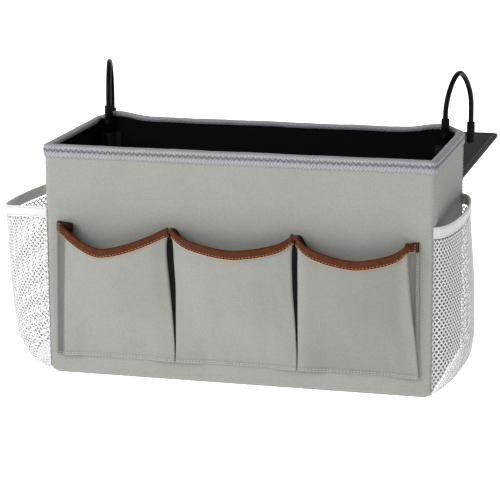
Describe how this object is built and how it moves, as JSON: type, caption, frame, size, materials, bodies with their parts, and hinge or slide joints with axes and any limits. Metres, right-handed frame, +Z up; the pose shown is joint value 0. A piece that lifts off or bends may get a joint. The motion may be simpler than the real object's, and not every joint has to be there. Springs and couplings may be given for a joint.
{
  "type": "bedside caddy",
  "caption": "Hanging fabric storage box with stiffened walls, pleated front pockets, mesh end pockets, a fold-out rear flap and wire rail hooks.",
  "frame": {"origin": "middle of the box's underside, on the surface that it stands on", "axes": "+X along the box to the right seen from the front, +Y back towards the bed, +Z up"},
  "size_m": [0.4444, 0.4086, 0.2679],
  "materials": {
    "cloth": "woven polyester, grey-green, matte",
    "binding": "ribbed woven tape, blue-grey",
    "lining": "black woven lining",
    "board": "stiff flat board",
    "trim": "brown synthetic leather, light sheen",
    "net": "white knitted mesh",
    "elastic": "white ribbed elastic",
    "webbing": "black woven tape",
    "flap_cloth": "charcoal coated cloth",
    "wire": "glossy black coating on steel wire",
    "rubber": "satin black rubber"
  },
  "bodies": {
    "caddy": {"front_panel": "cloth", "back_panel": "cloth", "right_panel": "cloth", "left_panel": "cloth", "base_panel": "cloth", "front_board": "board", "back_board": "board", "right_board": "board", "left_board": "board", "base_board": "board", "lining_front": "lining", "lining_back": "lining", "lining_right": "lining", "lining_left": "lining", "lining_base": "lining", "rim_binding": "binding", "pocket_left": "cloth", "pocket_middle": "cloth", "pocket_right": "cloth", "pocket_trim_left": "trim", "pocket_trim_middle": "trim", "pocket_trim_right": "trim", "net_left": "net", "net_right": "net", "net_band_left": "elastic", "net_band_right": "elastic", "flap_hinge_tape": "webbing", "hook_sleeve_left": "webbing", "hook_sleeve_right": "webbing"},
    "flap": {"flap_top_cover": "flap_cloth", "flap_board": "board", "flap_bottom_cover": "flap_cloth", "flap_binding": "webbing"},
    "collar_left": {"hook_collar_left": "rubber"},
    "hook_left": {"hook_wire_left": "wire", "hook_cap_left": "rubber"},
    "collar_right": {"hook_collar_right": "rubber"},
    "hook_right": {"hook_wire_right": "wire", "hook_cap_right": "rubber"}
  },
  "joints": [
    {"name": "flap_fold", "type": "hinge", "parent": "caddy", "child": "flap", "pos_m": [0, 0.0791, 0.168], "axis": [1, 0, 0], "range_deg": [-88, 20]},
    {"name": "hook_lift_left", "type": "slide", "parent": "caddy", "child": "collar_left", "axis": [0, 0, 1], "range_m": [0, 0.09]},
    {"name": "hook_swivel_left", "type": "hinge", "parent": "collar_left", "child": "hook_left", "pos_m": [-0.1641, 0.0645, 0.2], "axis": [0, 0, 1], "range_deg": [-85, 130]},
    {"name": "hook_lift_right", "type": "slide", "parent": "caddy", "child": "collar_right", "axis": [0, 0, 1], "range_m": [0, 0.09]},
    {"name": "hook_swivel_right", "type": "hinge", "parent": "collar_right", "child": "hook_right", "pos_m": [0.1641, 0.0645, 0.2], "axis": [0, 0, 1], "range_deg": [-130, 85]}
  ]
}
